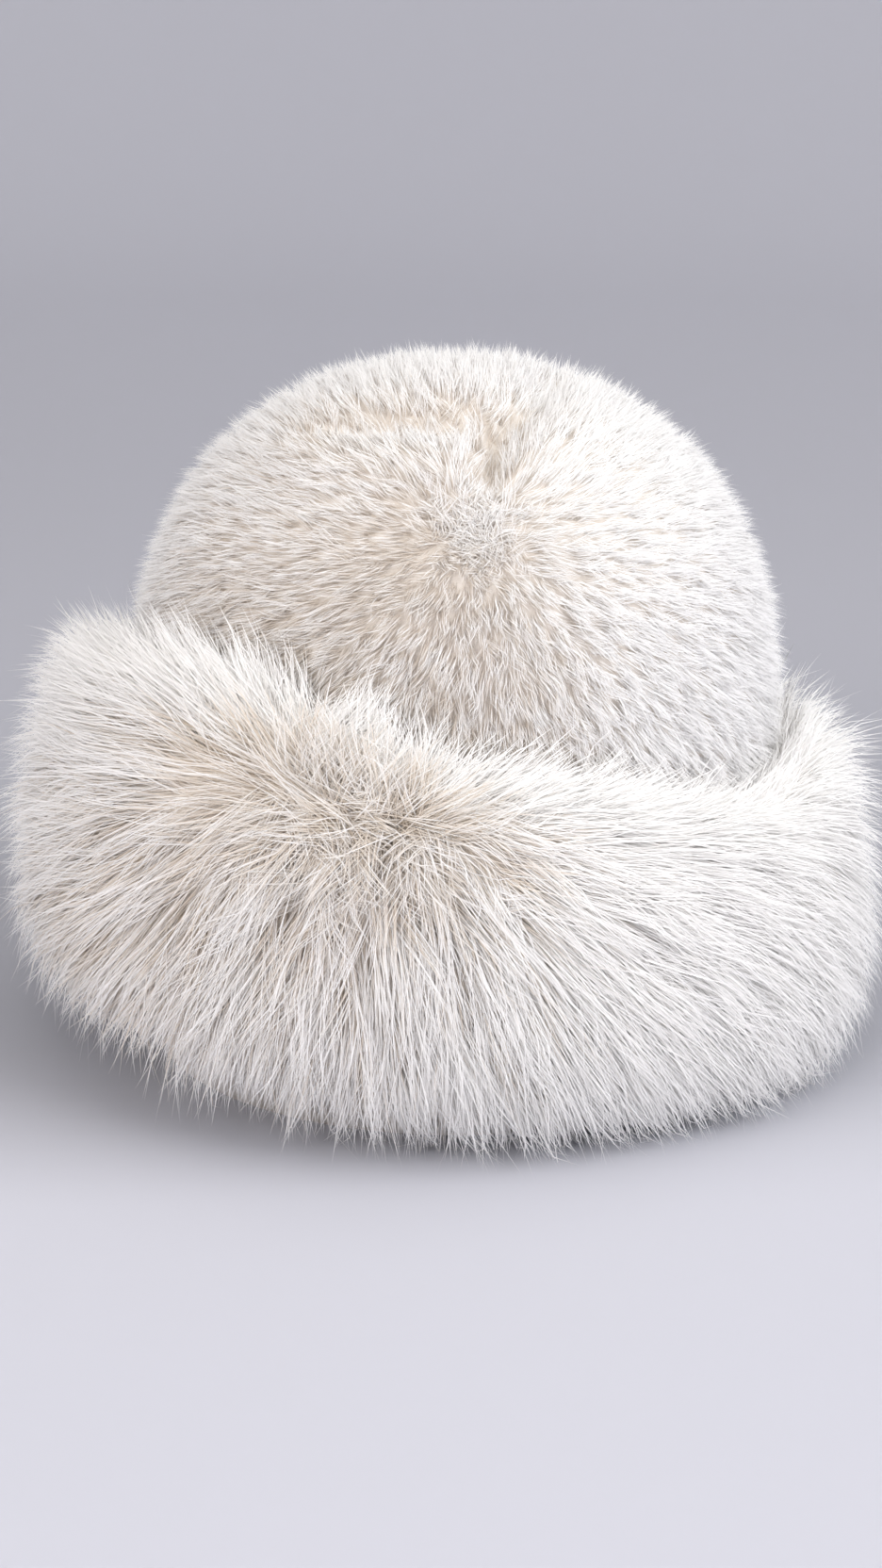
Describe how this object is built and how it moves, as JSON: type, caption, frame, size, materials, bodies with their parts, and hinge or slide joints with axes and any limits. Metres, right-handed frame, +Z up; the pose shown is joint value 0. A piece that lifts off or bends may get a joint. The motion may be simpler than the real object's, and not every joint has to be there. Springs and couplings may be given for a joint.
{
  "type": "cossack hat",
  "caption": "Round fur hat with a domed crown of short fur and a deep turned-up cuff of long fur, open below for the head.",
  "frame": {"origin": "middle of the whole hat on the surface that it stands on", "axes": "+Z up, -Y towards the front of the hat, where the crown's whorl is, and +X to the right as seen from the front"},
  "size_m": [0.2838, 0.2833, 0.2256],
  "materials": {
    "short_fur": "soft white fur with cream roots, matt",
    "long_fur": "long silky white fur with beige roots"
  },
  "bodies": {
    "root": {"crown": "short_fur", "cuff": "long_fur"}
  },
  "joints": []
}
